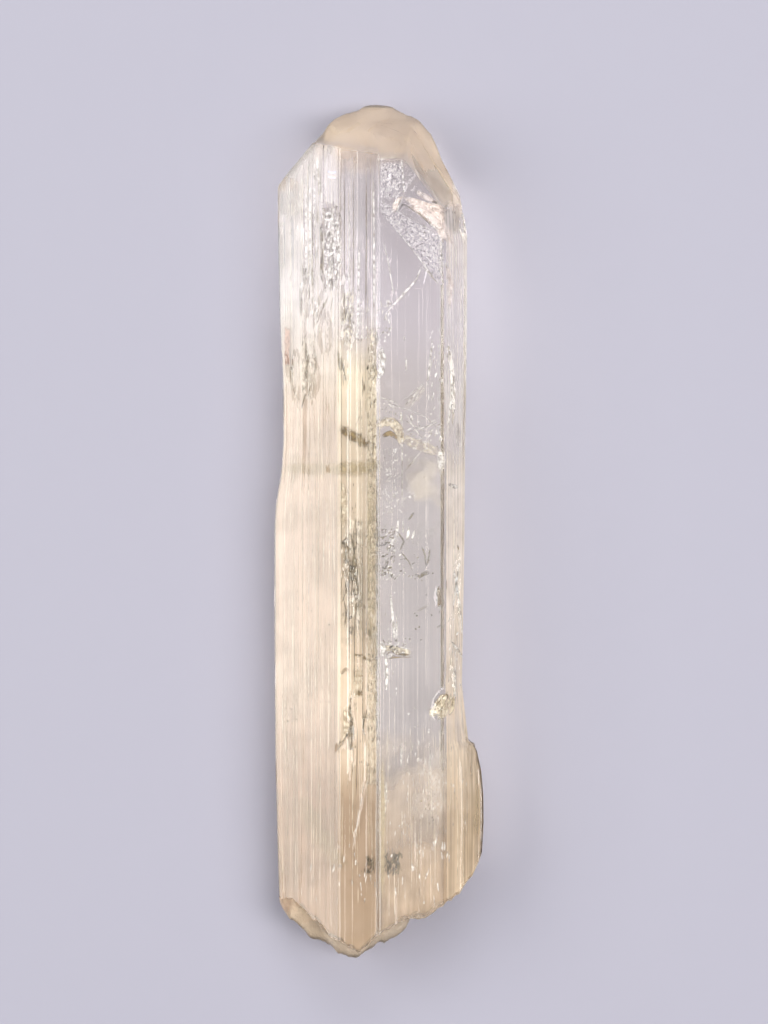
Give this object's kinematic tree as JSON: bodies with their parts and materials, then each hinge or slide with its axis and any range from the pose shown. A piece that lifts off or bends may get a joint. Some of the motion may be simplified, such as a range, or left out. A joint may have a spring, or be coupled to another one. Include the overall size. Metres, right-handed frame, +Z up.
{
  "type": "triphane spodumene crystal",
  "caption": "Flattened, striated gem crystal of pale yellow spodumene with a sloping rounded termination, a chipped shoulder and a broken foot, lying on its back face.",
  "frame": {"origin": "on the surface that the crystal lies on, under the middle of its box", "axes": "+Y along the crystal towards its sloping termination, +X to the right across its broad front, +Z up out of the broad front face"},
  "size_m": [0.0223, 0.0918, 0.0106],
  "materials": {
    "crystal": "clear pale yellow gem, glossy on its main window, frosted and striated on the left face, the termination and the foot"
  },
  "bodies": {
    "root": {"spodumene_crystal": "crystal"}
  },
  "joints": []
}
